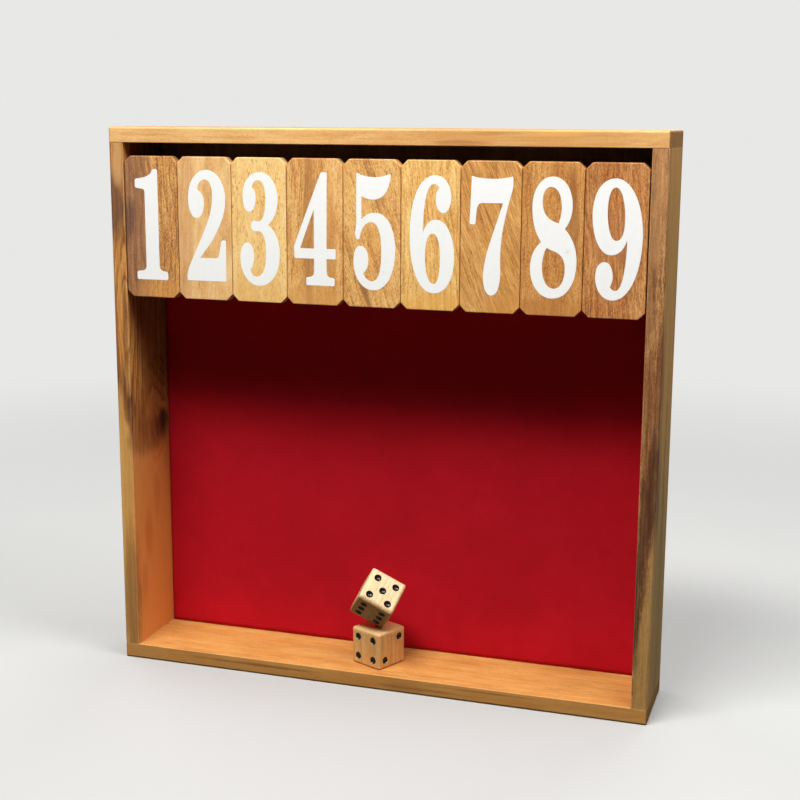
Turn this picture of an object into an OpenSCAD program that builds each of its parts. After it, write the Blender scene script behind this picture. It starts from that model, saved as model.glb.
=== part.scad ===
// Shut the box game: a shallow wooden case with nine numbered flap tiles on one
// rod, a felt tray and two dice. The case stands on its bottom board with the
// open tray facing -Y. Millimetres, +Z up. The origin is at the middle of the
// face that the case stands on.

/* [Case] */
// Width of the case, across the row of tiles
case_w = 290; // [240:1:400]
// Height of the case, along the tiles
case_h = 291; // [240:1:400]
// Depth of the case, from the open front to the back
case_d = 47; // [40:0.5:80]
// Thickness of the four frame boards
board_t = 8.2; // [6.5:0.1:12]
// Rounding of the frame's outer edges
outer_ease = 1.2; // [0.4:0.1:2]
// Rounding of the frame's inner front edges
inner_ease = 0.4; // [0.2:0.1:0.8]

/* [Back] */
// Thickness of the plywood back panel
panel_t = 4; // [3:0.5:6]
// Width of the rabbet in the boards that holds the panel's edge
rabbet_w = 4; // [3.5:0.1:5]
// Clearance round the panel in its rabbet
panel_clear = 0.2; // [0.1:0.05:0.5]
// Thickness of the felt that lines the tray
felt_t = 1.5; // [1:0.1:2.5]
// Clearance round the edges of the felt
felt_clear = 0.3; // [0.1:0.1:1]

/* [Tiles] */
// Length of a tile
tile_l = 73.3; // [55:0.1:100]
// Thickness of a tile
tile_t = 6; // [4.5:0.1:8]
// Gap between two tiles
tile_gap = 0.3; // [0.2:0.05:1]
// Gap between the end tiles and the side boards
row_gap = 0.6; // [0.3:0.1:2]
// Gap between the tiles' heads and the top board
head_gap = 6.7; // [4:0.1:12]
// Bevel across each corner of a tile
tile_corner = 3.2; // [1:0.1:5]
// Rounding where a bevel meets the sides and the ends
tile_soft = 1.5; // [0.5:0.1:2.5]
// Rounding of a tile's edges
tile_ease = 0.5; // [0.2:0.1:1]

/* [Hinge rod] */
// Diameter of the rod that all the tiles turn on
rod_d = 3; // [2:0.1:4]
// Distance from a tile's head to the rod's axis
rod_inset = 9; // [6:0.1:14]
// Radial clearance of the rod in the tiles
rod_run = 0.08; // [0.03:0.01:0.1]
// Radial clearance of the rod in the side boards
rod_fit = 0.03; // [0.01:0.01:0.1]
// Depth of the blind hole in each side board
rod_seat = 5; // [3:0.1:6]
// Gap between the rod's end and the bottom of its hole
rod_end_gap = 0.5; // [0.2:0.1:1]

/* [Tile rail] */
// Height of the rail behind the tiles
rail_h = 8; // [5:0.1:14]
// Distance from the tiles' free ends up to the rail
rail_up = 6; // [2:0.1:20]
// Gap between the tiles' backs and the rail
rail_gap = 0.25; // [0.1:0.05:1]

/* [Dice] */
// Edge length of a die
die_edge = 20; // [14:0.5:24]
// Rounding of a die's edges and corners
die_round = 1.2; // [0.6:0.1:3]
// Diameter of a pip
pip_d = 4; // [2.5:0.1:4.5]
// Depth of a pip
pip_depth = 1.1; // [0.4:0.1:1.3]
// Distance from a face's middle to its outer rows of pips
pip_row = 5.4; // [4:0.1:6]
// Place of the lower die across the case
lower_x = -2.4; // [-60:0.1:60]
// Distance of the lower die's middle behind the case's front
lower_setback = 19.1; // [17:0.1:24]
// Turn of the lower die about the vertical
lower_turn = 65.2; // [0:0.1:90]
// Place of the upper die's middle to the right of the lower die's
upper_dx = 0.3; // [-3:0.1:3]
// Place of the upper die's middle behind the lower die's
upper_dy = -2.3; // [-3:0.1:3]
// Roll of the upper die, poised on one corner
upper_roll = -47.1; // [-60:0.1:-30]
// Pitch of the upper die
upper_pitch = 28.3; // [20:0.1:45]
// Turn of the upper die about the vertical
upper_turn = 11.8; // [-180:0.1:180]
// Gap between the upper die's lowest point and the lower die
perch_gap = 0.05; // [0.02:0.01:0.3]

/* [Brads] */
// Diameter of the brads
brad_d = 1.2; // [1:0.1:1.6]
// Diameter of a brad's head
brad_head_d = 2.2; // [1.8:0.1:2.6]
// Thickness of a brad's head
brad_head_t = 0.8; // [0.5:0.1:1.5]
// Length of the brads that nail the frame's corners
corner_brad_l = 25; // [15:0.5:35]
// Length of the brads that nail the back panel
panel_brad_l = 12; // [8:0.5:18]
// How far the brads' heads lie below the surface
brad_set = 0.2; // [0.1:0.1:0.5]
// Clearance of a brad in its hole
brad_clear = 0.03; // [0.01:0.01:0.1]
// Distance of the corner brads from the middle of the case's depth
corner_brad_y = 11; // [6:0.5:18]

/* [Hidden] */

$fn = 48;
tile_count = 9;
arc_steps = 5;
soft_steps = 3;
cut = 1;

front_y = -case_d / 2;
back_y = case_d / 2;
inner_w = case_w - 2 * board_t;
inner_h = case_h - 2 * board_t;
inner_top = case_h - board_t;

panel_front_y = back_y - panel_t;
felt_front_y = panel_front_y - felt_t;
panel_w = inner_w + 2 * (rabbet_w - panel_clear);
panel_h = inner_h + 2 * (rabbet_w - panel_clear);

tile_w = (inner_w - 2 * row_gap - (tile_count - 1) * tile_gap) / tile_count;
tile_head_z = inner_top - head_gap;
tile_foot_z = tile_head_z - tile_l;
tile_back_y = front_y + tile_t;

rod_y = front_y + tile_t / 2;
rod_z = tile_head_z - rod_inset;
rod_l = inner_w + 2 * (rod_seat - rod_end_gap);

rail_z = tile_foot_z + rail_up;
rail_front_y = tile_back_y + rail_gap;

die_core = die_edge / 2 - die_round;
lower_y = front_y + lower_setback;
lower_z = board_t + die_edge / 2;
// Half the height of the tilted upper die, from its middle to its lowest corner
perch = die_round + die_core
  * (sin(upper_pitch) - cos(upper_pitch) * sin(upper_roll) + cos(upper_pitch) * cos(upper_roll));
upper_z = board_t + die_edge + perch_gap + perch;
pip_r = (pow(pip_d / 2, 2) + pow(pip_depth, 2)) / (2 * pip_depth);

corner_brad_x = case_w / 2 - board_t / 2;
panel_brad_in = rabbet_w / 2;
panel_brad_spread = 0.38;

// Points of a quarter round about (x, y) that starts at angle a
function quarter(x, y, r, a) =
  r == 0 ? [[x, y]] :
  [for (i = [0:arc_steps]) [x + r * cos(a + 90 * i / arc_steps), y + r * sin(a + 90 * i / arc_steps)]];

// Rectangle centred on (0, 0) with corner radii [++, -+, --, +-]
function eased_rect(w, h, r) = concat(
  quarter(w / 2 - r[0], h / 2 - r[0], r[0], 0),
  quarter(-w / 2 + r[1], h / 2 - r[1], r[1], 90),
  quarter(-w / 2 + r[2], -h / 2 + r[2], r[2], 180),
  quarter(w / 2 - r[3], -h / 2 + r[3], r[3], 270)
);

// Extrudes a (y, z) profile along X, a (x, z) profile along Y or an (x, y)
// profile along Z, always centred
module prism_x(l) rotate([90, 0, 90]) linear_extrude(l, center = true) children();
module prism_y(l) rotate([90, 0, 0]) linear_extrude(l, center = true) children();
module prism_z(l) linear_extrude(l, center = true) children();

// Brad with its head's top at z = 0, pointing down, made larger all round by grow
module brad(l, grow = 0) {
  r = brad_d / 2 + grow;
  head_r = brad_head_d / 2 + grow;
  rotate_extrude() polygon([
    [0, grow], [head_r, grow], [head_r, -brad_head_t - grow], [r, -brad_head_t - grow],
    [r, -l + brad_d], [0, -l - grow]
  ]);
}

// Hole for a brad, open to the surface
module brad_hole(l) {
  brad(l, brad_clear);
  cylinder(r = brad_head_d / 2 + brad_clear, h = brad_set + cut);
}

// Places of the two brads at each corner, on the sides sx and the ends sz
module at_corner_brads(sx = [-1, 1], sz = [-1, 1])
  for (x = sx, z = sz, y = [-corner_brad_y, corner_brad_y])
    translate([x * corner_brad_x, y, z > 0 ? case_h - brad_set : brad_set])
      rotate([z > 0 ? 0 : 180, 0, 0]) children();

// Places of the three brads along the panel's side edge x or end edge z
module at_panel_brads(x = 0, z = 0)
  for (k = [-1, 0, 1])
    translate([
      x == 0 ? k * panel_brad_spread * panel_w : x * (inner_w / 2 + panel_brad_in),
      back_y - brad_set,
      case_h / 2 + (z == 0 ? k * panel_brad_spread * panel_h : z * (inner_h / 2 + panel_brad_in))
    ]) rotate([-90, 0, 0]) children();

// Top board, or the bottom board with end = -1: runs the full width of the case
module long_board(end) {
  difference() {
    translate([0, 0, case_h / 2 + end * (case_h - board_t) / 2]) mirror([0, 0, end < 0 ? 1 : 0])
      intersection() {
        prism_x(case_w) polygon(eased_rect(case_d, board_t, [outer_ease, outer_ease, inner_ease, 0]));
        prism_y(case_d) polygon(eased_rect(case_w, board_t, [outer_ease, outer_ease, 0, 0]));
        prism_z(board_t) polygon(eased_rect(case_w, case_d, [outer_ease, outer_ease, outer_ease, outer_ease]));
      }
    rabbet_cut();
    at_corner_brads(sz = [end]) brad_hole(corner_brad_l);
    at_panel_brads(z = end) brad_hole(panel_brad_l);
  }
}

// Right board, or the left board with side = -1: stands between the long boards
module side_board(side) {
  difference() {
    translate([side * (case_w - board_t) / 2, 0, case_h / 2]) mirror([side < 0 ? 1 : 0, 0, 0])
      prism_z(inner_h) polygon(eased_rect(board_t, case_d, [outer_ease, 0, inner_ease, outer_ease]));
    rabbet_cut();
    rod_seat_cut(side);
    at_corner_brads(sx = [side]) brad_hole(corner_brad_l);
    at_panel_brads(x = side) brad_hole(panel_brad_l);
  }
}

// Space that the back panel's edge takes from the boards, stopped short of the outside
module rabbet_cut()
  translate([0, back_y - panel_t / 2 + cut / 2, case_h / 2])
    cube([inner_w + 2 * rabbet_w, panel_t + cut, inner_h + 2 * rabbet_w], center = true);

// Blind hole for one end of the hinge rod
module rod_seat_cut(side)
  translate([side * (inner_w / 2 + (rod_seat - cut) / 2), rod_y, rod_z]) rotate([0, 90, 0])
    cylinder(r = rod_d / 2 + rod_fit, h = rod_seat + cut, center = true);

module top_board() color([0.85, 0.66, 0.42]) long_board(1);
module bottom_board() color([0.72, 0.49, 0.27]) long_board(-1);
module left_board() color([0.68, 0.44, 0.24]) side_board(-1);
module right_board() color([0.52, 0.36, 0.21]) side_board(1);

module back_panel() color([0.76, 0.6, 0.4])
  difference() {
    translate([0, back_y - panel_t / 2, case_h / 2]) cube([panel_w, panel_t, panel_h], center = true);
    for (s = [-1, 1]) {
      at_panel_brads(x = s) brad_hole(panel_brad_l);
      at_panel_brads(z = s) brad_hole(panel_brad_l);
    }
  }

// Felt glued to the panel from the bottom board up to the tile rail
module felt_lining() color([0.7, 0.07, 0.12])
  translate([-inner_w / 2 + felt_clear, felt_front_y, board_t + felt_clear])
    cube([inner_w - 2 * felt_clear, felt_t, rail_z - board_t - 2 * felt_clear]);

// Rail that stops the tiles from behind and closes the tray at their free ends
module tile_rail() color([0.6, 0.4, 0.22])
  translate([0, (rail_front_y + panel_front_y) / 2, rail_z + rail_h / 2])
    prism_x(inner_w)
      polygon(eased_rect(panel_front_y - rail_front_y, rail_h, [0, inner_ease, inner_ease, 0]));

module hinge_rod() color([0.75, 0.75, 0.76])
  translate([0, rod_y, rod_z]) rotate([0, 90, 0]) cylinder(d = rod_d, h = rod_l, center = true);

module corner_brads() color([0.6, 0.6, 0.6]) at_corner_brads() brad(corner_brad_l);

module panel_brads() color([0.6, 0.6, 0.6])
  for (s = [-1, 1]) {
    at_panel_brads(x = s) brad(panel_brad_l);
    at_panel_brads(z = s) brad(panel_brad_l);
  }

// Corners of a tile's face: a rectangle with a bevel across each corner
tile_corners = let (x = tile_w / 2, z = tile_l / 2, c = tile_corner) [
  [x, z - c], [x - c, z], [-x + c, z], [-x, z - c],
  [-x, -z + c], [-x + c, -z], [x - c, -z], [x, -z + c]
];

// Distance between two opposite bevels of a tile
tile_diagonal = (tile_w + tile_l - 2 * tile_corner) / sqrt(2);

// An outline of 135 degree corners with each corner rounded to radius r
function softened(points, r) = [
  for (i = [0:len(points) - 1])
    let (
      p = points[i],
      next = points[(i + 1) % len(points)],
      along = (next - p) / norm(next - p),
      out = [along[1], -along[0]],
      center = p + along * r * tan(22.5) - out * r,
      start = atan2(out[1], out[0]) - 45
    )
    for (k = [0:soft_steps]) center + r * [cos(start + 45 * k / soft_steps), sin(start + 45 * k / soft_steps)]
];

function tile_x(n) = (n - (tile_count + 1) / 2) * (tile_w + tile_gap);

// Wood colour of each tile, from tile 1 to tile 9
tile_colors = [
  [0.6, 0.44, 0.3], [0.86, 0.67, 0.44], [0.94, 0.75, 0.47], [0.85, 0.63, 0.38], [0.84, 0.63, 0.36],
  [0.9, 0.72, 0.42], [0.8, 0.56, 0.3], [0.74, 0.51, 0.28], [0.72, 0.49, 0.29]
];

// Slab as thick as a tile and w wide, turned in the tile's plane, with its long edges rounded
module eased_slab(turn, w)
  rotate([0, turn, 0]) prism_z(tile_l + tile_w)
    polygon(eased_rect(w, tile_t, [tile_ease, tile_ease, tile_ease, tile_ease]));

module tile(n) color(tile_colors[n - 1])
  difference() {
    translate([tile_x(n), rod_y, tile_foot_z + tile_l / 2]) intersection() {
      prism_y(tile_t) polygon(softened(tile_corners, tile_soft));
      eased_slab(0, tile_w);
      eased_slab(45, tile_diagonal);
      eased_slab(90, tile_l);
      eased_slab(135, tile_diagonal);
    }
    translate([tile_x(n), rod_y, rod_z]) rotate([0, 90, 0])
      cylinder(r = rod_d / 2 + rod_run, h = tile_w + 2 * cut, center = true);
  }

// Places of n pips on a face, in units of pip_row
function pips(n) = concat(
  n % 2 == 1 ? [[0, 0]] : [],
  n > 1 ? [[-1, -1], [1, 1]] : [],
  n > 3 ? [[-1, 1], [1, -1]] : [],
  n > 5 ? [[-1, 0], [1, 0]] : []
);

// Turn that brings +Z to the face with each number of pips, from 1 to 6
face_turns = [[0, 0, 0], [90, 0, 0], [0, 90, 0], [0, -90, 0], [-90, 0, 0], [180, 0, 0]];

// Cube with rounded edges and corners and flat faces
module die_body() hull() {
  cube([die_edge, 2 * die_core, 2 * die_core], center = true);
  cube([2 * die_core, die_edge, 2 * die_core], center = true);
  cube([2 * die_core, 2 * die_core, die_edge], center = true);
  for (x = [-1, 1], y = [-1, 1], z = [-1, 1])
    translate([x, y, z] * die_core) sphere(r = die_round, $fn = 16);
}

module die() difference() {
  die_body();
  for (n = [1:6]) rotate(face_turns[n - 1])
    for (p = pips(n))
      translate([p[0] * pip_row, p[1] * pip_row, die_edge / 2 - pip_depth + pip_r]) sphere(r = pip_r);
}

// Shows four pips to the left of the front edge and two to the right
module die_lower() color([0.78, 0.58, 0.34])
  translate([lower_x, lower_y, lower_z]) rotate([0, 0, lower_turn]) die();

// Poised on one corner on the lower die, five pips to the front and six below
module die_upper() color([0.94, 0.86, 0.68])
  translate([lower_x + upper_dx, lower_y + upper_dy, upper_z])
    rotate([upper_roll, upper_pitch, upper_turn]) rotate([0, 0, 180]) die();

top_board();
bottom_board();
left_board();
right_board();
back_panel();
felt_lining();
tile_rail();
hinge_rod();
corner_brads();
panel_brads();
for (n = [1:tile_count]) tile(n);
die_lower();
die_upper();
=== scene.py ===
import math
import random

import bpy
from mathutils import Euler, Matrix, Vector, noise


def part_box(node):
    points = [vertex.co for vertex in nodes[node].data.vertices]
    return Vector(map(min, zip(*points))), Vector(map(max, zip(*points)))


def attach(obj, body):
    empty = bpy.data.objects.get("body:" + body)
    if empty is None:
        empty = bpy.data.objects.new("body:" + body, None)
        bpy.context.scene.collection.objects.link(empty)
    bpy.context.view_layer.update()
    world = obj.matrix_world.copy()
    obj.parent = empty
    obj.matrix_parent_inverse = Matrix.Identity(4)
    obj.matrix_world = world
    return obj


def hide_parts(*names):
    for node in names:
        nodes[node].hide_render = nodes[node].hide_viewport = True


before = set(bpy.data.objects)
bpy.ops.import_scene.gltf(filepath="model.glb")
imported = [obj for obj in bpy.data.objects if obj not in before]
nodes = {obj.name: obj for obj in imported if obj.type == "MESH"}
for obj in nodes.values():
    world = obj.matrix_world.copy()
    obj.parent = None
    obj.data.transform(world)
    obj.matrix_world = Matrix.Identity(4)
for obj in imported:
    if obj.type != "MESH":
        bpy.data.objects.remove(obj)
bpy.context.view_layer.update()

MM = 0.001


# ---------------------------------------------------------------- node trees


def rgb(r, g, b):
    """An sRGB colour in 0-255 as linear RGBA."""
    lin = [c / 255 / 12.92 if c <= 10.31 else ((c / 255 + 0.055) / 1.055) ** 2.4 for c in (r, g, b)]
    return (*lin, 1.0)


class Graph:
    """Builds one material's nodes. Sockets and plain values are accepted alike."""

    def __init__(self, name):
        self.material = bpy.data.materials.new(name)
        self.material.use_nodes = True
        self.tree = self.material.node_tree
        self.tree.nodes.clear()
        self.shader = self.add("ShaderNodeBsdfPrincipled")
        out = self.add("ShaderNodeOutputMaterial")
        self.tree.links.new(self.shader.outputs[0], out.inputs[0])

    def add(self, kind, **settings):
        node = self.tree.nodes.new(kind)
        for key, value in settings.items():
            setattr(node, key, value)
        return node

    def feed(self, socket, value):
        if isinstance(value, bpy.types.NodeSocket):
            self.tree.links.new(value, socket)
        elif value is not None:
            socket.default_value = value

    def math(self, operation, a, b=None, c=None, clamp=False):
        node = self.add("ShaderNodeMath", operation=operation, use_clamp=clamp)
        for socket, value in zip(node.inputs, (a, b, c)):
            self.feed(socket, value)
        return node.outputs[0]

    def product(self, first, *rest):
        for factor in rest:
            first = self.math("MULTIPLY", first, factor)
        return first

    def sway(self, value, weight, base, rest=0.5):
        """base, moved by weight times how far value is from rest."""
        return self.math("MULTIPLY_ADD", self.math("SUBTRACT", value, rest), weight, base)

    def vector(self, operation, a, b=None):
        node = self.add("ShaderNodeVectorMath", operation=operation)
        self.feed(node.inputs[0], a)
        self.feed(node.inputs[1], b)
        return node.outputs["Value" if operation in ("DOT_PRODUCT", "LENGTH", "DISTANCE") else "Vector"]

    def combine(self, x, y, z):
        node = self.add("ShaderNodeCombineXYZ")
        for socket, value in zip(node.inputs, (x, y, z)):
            self.feed(socket, value)
        return node.outputs[0]

    def split(self, vector):
        node = self.add("ShaderNodeSeparateXYZ")
        self.feed(node.inputs[0], vector)
        return node.outputs[0], node.outputs[1], node.outputs[2]

    def noise(self, vector, stretch=(1, 1, 1), scale=1.0, detail=2.0, rough=0.5, distort=0.0):
        """Noise round 0.5 that repeats about scale times stretch per unit of the vector."""
        node = self.add("ShaderNodeTexNoise", noise_dimensions="3D")
        self.feed(node.inputs["Vector"], self.vector("MULTIPLY", vector, stretch))
        node.inputs["Scale"].default_value = scale
        node.inputs["Detail"].default_value = detail
        node.inputs["Roughness"].default_value = rough
        node.inputs["Distortion"].default_value = distort
        return node.outputs["Fac"]

    def span(self, value, low, high, to_low=0.0, to_high=1.0):
        """A smooth step: to_low where value is low or past it, to_high where it is high or past it."""
        node = self.add("ShaderNodeMapRange", interpolation_type="SMOOTHSTEP")
        for key, number in (("Value", value), ("From Min", low), ("From Max", high),
                            ("To Min", to_low), ("To Max", to_high)):
            self.feed(node.inputs[key], number)
        return node.outputs[0]

    def ramp(self, value, stops, ease="LINEAR"):
        node = self.add("ShaderNodeValToRGB")
        node.color_ramp.interpolation = ease
        elements = node.color_ramp.elements
        while len(elements) < len(stops):
            elements.new(0.5)
        for element, (place, colour) in zip(elements, stops):
            element.position = place
            element.color = colour if len(colour) == 4 else (*colour, 1)
        self.feed(node.inputs[0], value)
        return node.outputs[0]

    def mix(self, share, a, b, blend="MIX"):
        node = self.add("ShaderNodeMix", data_type="RGBA", blend_type=blend, clamp_factor=True)
        self.feed(node.inputs[0], share)
        self.feed(node.inputs[6], a)
        self.feed(node.inputs[7], b)
        return node.outputs[2]

    def place(self, centre=(0, 0, 0), axes=((1, 0, 0), (0, 1, 0), (0, 0, 1))):
        """Position in millimetres from centre (in metres) along three axes of the object."""
        here = self.add("ShaderNodeTexCoord").outputs["Object"]
        here = self.vector("SUBTRACT", here, tuple(centre))
        here = self.vector("MULTIPLY", here, (1 / MM,) * 3)
        return self.combine(*(self.vector("DOT_PRODUCT", here, tuple(a)) for a in axes))

    def facing(self, way):
        """1 where the surface looks along a direction of the object, 0 square to it, -1 away from it."""
        return self.vector("DOT_PRODUCT", self.add("ShaderNodeTexCoord").outputs["Normal"], tuple(way))

    def bump(self, height, strength, distance):
        node = self.add("ShaderNodeBump")
        node.inputs["Strength"].default_value = strength
        node.inputs["Distance"].default_value = distance
        self.feed(node.inputs["Height"], height)
        self.feed(self.shader.inputs["Normal"], node.outputs[0])

    def set(self, **values):
        for key, value in values.items():
            self.feed(self.shader.inputs[key.replace("_", " ")], value)


# ---------------------------------------------------------------- wood

X, Y, Z = (1, 0, 0), (0, 1, 0), (0, 0, 1)

# How often each figure in wood repeats in a millimetre: both ways across the fibres, then along them.
RING_DRIFT = (0.035, 0.035, 0.011)
RING_DRIFT_BACK = (0.05, 0.05, 0.014)
RING_RIPPLE = (0.3, 0.3, 0.05)
STREAKS = (0.85, 0.85, 0.022)
FIBRES = (1.5, 1.5, 0.14)
FLECKS = (1.8, 1.8, 0.7)
CLOUDS = (0.09, 0.09, 0.03)
VESSELS = (2.4, 2.4, 0.5)
BLUSH = (0.16, 0.16, 0.035)
SAP_LINE = (0.12, 0.12, 0.03)
PATCH_EDGE = (0.25, 0.25, 0.06)
WORN_EDGE = (0.5, 0.5, 0.2)
END_DOTS = (1.6, 1.6, 0.3)

SEED_STEP = (31.7, 17.3, 53.9)  # how far each seed moves a piece through the figures, in millimetres
RING_REST = 0.45                # brightness of the part of a ring that leaves the tone as it is
FIGURE_GAIN = 1.6               # every figure's strength is multiplied by this
VESSEL_TINT = (0.5, 0.34, 0.2, 1)
BLUSH_TINT = (0.93, 0.76, 0.6, 1)
WORN_TINT = (250, 214, 160)
WOOD_SPECULAR = 0.35


def turned(degrees):
    """Axes of a piece whose grain leans in the XZ plane, to the right at its top if degrees is positive."""
    a = math.radians(degrees)
    return ((math.cos(a), 0, -math.sin(a)), Y, (math.sin(a), 0, math.cos(a)))


def growth_rings(g, p, q, u, v, heart, ring, wander, knots):
    """The rings round a wandering heart, and how much more strongly they show near a knot."""
    slow = g.noise(q, RING_DRIFT, detail=2)
    slow_back = g.noise(g.vector("ADD", q, (7, 91, 13)), RING_DRIFT_BACK, detail=2)
    hu = g.sway(slow, 8 * wander, g.math("SUBTRACT", u, heart[0]))
    hv = g.sway(slow_back, 8 * wander, g.math("SUBTRACT", v, heart[1]))
    away = g.vector("LENGTH", g.combine(hu, hv, 0.0))
    away = g.math("MULTIPLY_ADD", g.noise(q, RING_RIPPLE, detail=3), 1.2 * ring, away)
    swirl = 0.0
    for place, radii, lift in knots:
        off = g.vector("LENGTH", g.vector("DIVIDE", g.vector("SUBTRACT", p, place), radii))
        away = g.math("MULTIPLY_ADD", g.span(off, 1.6, 0.0), lift, away)
        swirl = g.math("ADD", swirl, g.span(off, 1.5, 0.7, 0.0, 0.55))
    within = g.math("FRACT", g.math("DIVIDE", away, ring))
    profile = [(0.0, (0.25,) * 3), (0.5, (0.45,) * 3), (0.85, (0.95,) * 3), (1.0, (0.25,) * 3)]
    return g.ramp(within, profile, "EASE"), swirl


def sapwood(g, p, q, coarse, tone, colour, plane, waver, soft, pale, limits=(), dark=None):
    """Pale sapwood on one side of a wavering line, over the colour so far.

    A plane is (direction, offset), and heartwood is where direction times place plus offset is above 0.
    limits are two planes that the first one follows where it would leave them. waver is how far the line
    strays, and soft how wide it is. pale is the sapwood's (colour, strength), and dark is the (colour,
    strength, depth) of the darkest heartwood, just inside the line.
    """
    def inside_of(way, offset):
        return g.math("ADD", g.vector("DOT_PRODUCT", p, way), offset)

    inside = inside_of(*plane)
    if limits:
        inside = g.math("MAXIMUM", inside, inside_of(*limits[0]))
        inside = g.math("MINIMUM", inside, inside_of(*limits[1]))
    inside = g.sway(g.noise(q, SAP_LINE, detail=4, rough=0.6), waver, inside)
    if dark:
        tint, strength, depth = dark
        shade = g.product(g.span(inside, -soft, 2 * soft), g.span(inside, depth, 2 * soft),
                          g.span(coarse, 0.35, 0.6, 1.0, 0.55), strength)
        colour = g.mix(shade, colour, rgb(*tint))
    tint, strength = pale
    darker = tuple(0.7 * c for c in rgb(*tint))
    light_side = g.mix(g.span(tone, -0.2, 1.0), darker, rgb(*tint))
    return g.mix(g.product(g.span(inside, soft, -soft), strength), colour, light_side)


def patched(g, p, q, coarse, colour, patches, torn):
    """Soft patches (place, radii, colour, strength) over the colour so far, broken up by the streaks."""
    for place, radii, tint, strength in patches:
        off = g.vector("DIVIDE", g.vector("SUBTRACT", p, place), radii)
        far = g.sway(g.noise(q, PATCH_EDGE, detail=4, rough=0.65), 1.1, g.vector("LENGTH", off))
        here = g.product(g.span(far, 1.2, 0.5), strength)
        here = g.math("MULTIPLY", here, g.span(coarse, 0.3, 0.7, 1.0, 1.0 - torn), clamp=True)
        colour = g.mix(here, colour, rgb(*tint))
    return colour


def edge_distance(g, q, half, along):
    """How far the place along is from the nearest edge of a box of the half size half, unevenly."""
    a, b, c = (g.math("SUBTRACT", h, g.math("ABSOLUTE", s)) for h, s in zip(half, along))
    near = g.math("MAXIMUM", g.math("MINIMUM", a, b), g.math("MINIMUM", g.math("MAXIMUM", a, b), c))
    return g.sway(g.noise(q, WORN_EDGE, detail=4), 1.0, near)


def wood(name, centre, axes, tones, seed, heart=(40, 25), ring=3.0, wander=2.5, knots=(),
         ringy=0.25, streaky=0.35, fine=0.45, flecky=0.35, cloudy=0.45, ruddy=0.5,
         pores=0.5, pore_at=0.66, sap=None, patches=(), torn=0.25, half=None, wear=0.1,
         painted_face_shade=None, end=0.0, end_shade=((0.34, 0.25, 0.17), (0.72, 0.62, 0.5)), gloss=0.52):
    """Wood whose fibres run along the third axis. Places are in millimetres along the axes, from centre.

    tones are its dark, middle and light colours. heart is where the middle of the growth rings is across the
    fibres, ring is their width and wander how far they stray. knots are (place, radii, lift), where the rings
    swing round a branch. ringy, streaky, fine, flecky, cloudy and ruddy are how strongly each figure shows.
    pores is how dark the open vessels are, and pore_at how rare. sap holds what sapwood() takes, and patches
    and torn are those of patched(). wear is how pale the edges of a box of the half size half are. crown is
    painted shade: a tint that darkens the face that looks along the first axis. end is how strongly the sawn
    ends take the tints end_shade, and gloss is the roughness.
    """
    g = Graph(name)
    p = g.place(centre, axes)
    q = g.vector("ADD", p, tuple(seed * step for step in SEED_STEP))
    u, v, w = g.split(p)
    rings, swirl = growth_rings(g, p, q, u, v, heart, ring, wander, knots)
    coarse = g.noise(q, STREAKS, detail=3, rough=0.6)
    thin = g.noise(q, FIBRES, detail=4, rough=0.7)
    fleck = g.noise(q, FLECKS, detail=3, rough=0.75)
    cloud = g.noise(q, CLOUDS, detail=3, rough=0.6)
    tone = g.sway(rings, -FIGURE_GAIN * ringy, 0.5, RING_REST)
    for figure, share in ((coarse, streaky), (thin, fine), (fleck, flecky), (cloud, cloudy)):
        tone = g.sway(figure, FIGURE_GAIN * share, tone)
    if knots:
        tone = g.math("SUBTRACT", tone, g.product(g.math("SUBTRACT", rings, RING_REST), swirl))
    dark, mid, light = (rgb(*t) for t in tones)
    colour = g.ramp(tone, [(0.05, dark), (0.5, mid), (0.95, light)])
    # open vessels, as short dark flecks along the fibres, thicker in some parts of a ring than in others
    vessel = g.sway(rings, 0.07, g.noise(q, VESSELS, detail=1, rough=0.4))
    vessel = g.span(vessel, pore_at, pore_at + 0.08)
    colour = g.mix(g.product(vessel, pores), colour, VESSEL_TINT, "MULTIPLY")
    blush = g.span(g.noise(g.vector("ADD", q, (3, 55, 21)), BLUSH, detail=3), 0.4, 0.68)
    colour = g.mix(g.product(blush, ruddy), colour, BLUSH_TINT, "MULTIPLY")
    if sap:
        colour = sapwood(g, p, q, coarse, tone, colour, **sap)
    colour = patched(g, p, q, coarse, colour, patches, torn)
    if half:
        near = edge_distance(g, q, half, (u, v, w))
        colour = g.mix(g.product(g.span(near, 0.75, 0.1), wear), colour, rgb(*WORN_TINT))
    # painted shade: darkens the face that looks along the first axis
    if painted_face_shade:
        colour = g.mix(g.span(g.facing(axes[0]), 0.55, 0.95), colour, (*painted_face_shade, 1), "MULTIPLY")
    # darker sawn ends: end grain, and on the tiles painted shade as well
    if end:
        across = g.span(g.math("ABSOLUTE", g.facing(axes[2])), 0.3, 0.75)
        dots = g.noise(q, END_DOTS, detail=3, rough=0.7)
        shade = g.ramp(dots, [(0.3, end_shade[0]), (0.7, end_shade[1])])
        colour = g.mix(g.product(across, end), colour, g.mix(1.0, colour, shade, "MULTIPLY"))
    rough = g.span(coarse, 0.3, 0.7, gloss + 0.1, gloss - 0.04)
    rough = g.math("MULTIPLY_ADD", vessel, 0.25, rough)
    height = g.math("SUBTRACT", g.product(thin, 0.5), g.product(vessel, pores))
    g.bump(height, 0.35, 0.12 * MM)
    g.set(Base_Color=colour, Roughness=rough)
    g.shader.inputs["Specular IOR Level"].default_value = WOOD_SPECULAR
    return g.material


def dress(node, material):
    """Gives a CAD node its material, with nothing else about it changed."""
    slots = nodes[node].material_slots
    if not slots:
        raise SystemExit(f"{node} has no material slot")
    for s in slots:
        s.material = material


def middle(node):
    lo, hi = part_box(node)
    return (lo + hi) / 2


def half_size(node, axes):
    """Half the size of a node in millimetres, along each of the axes."""
    lo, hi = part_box(node)
    size = (hi - lo) / 2 / MM
    return tuple(sum(abs(a[i]) * size[i] for i in range(3)) for a in axes)


ALONG_X = (Z, Y, X)
ALONG_Z = (X, Y, Z)

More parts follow.
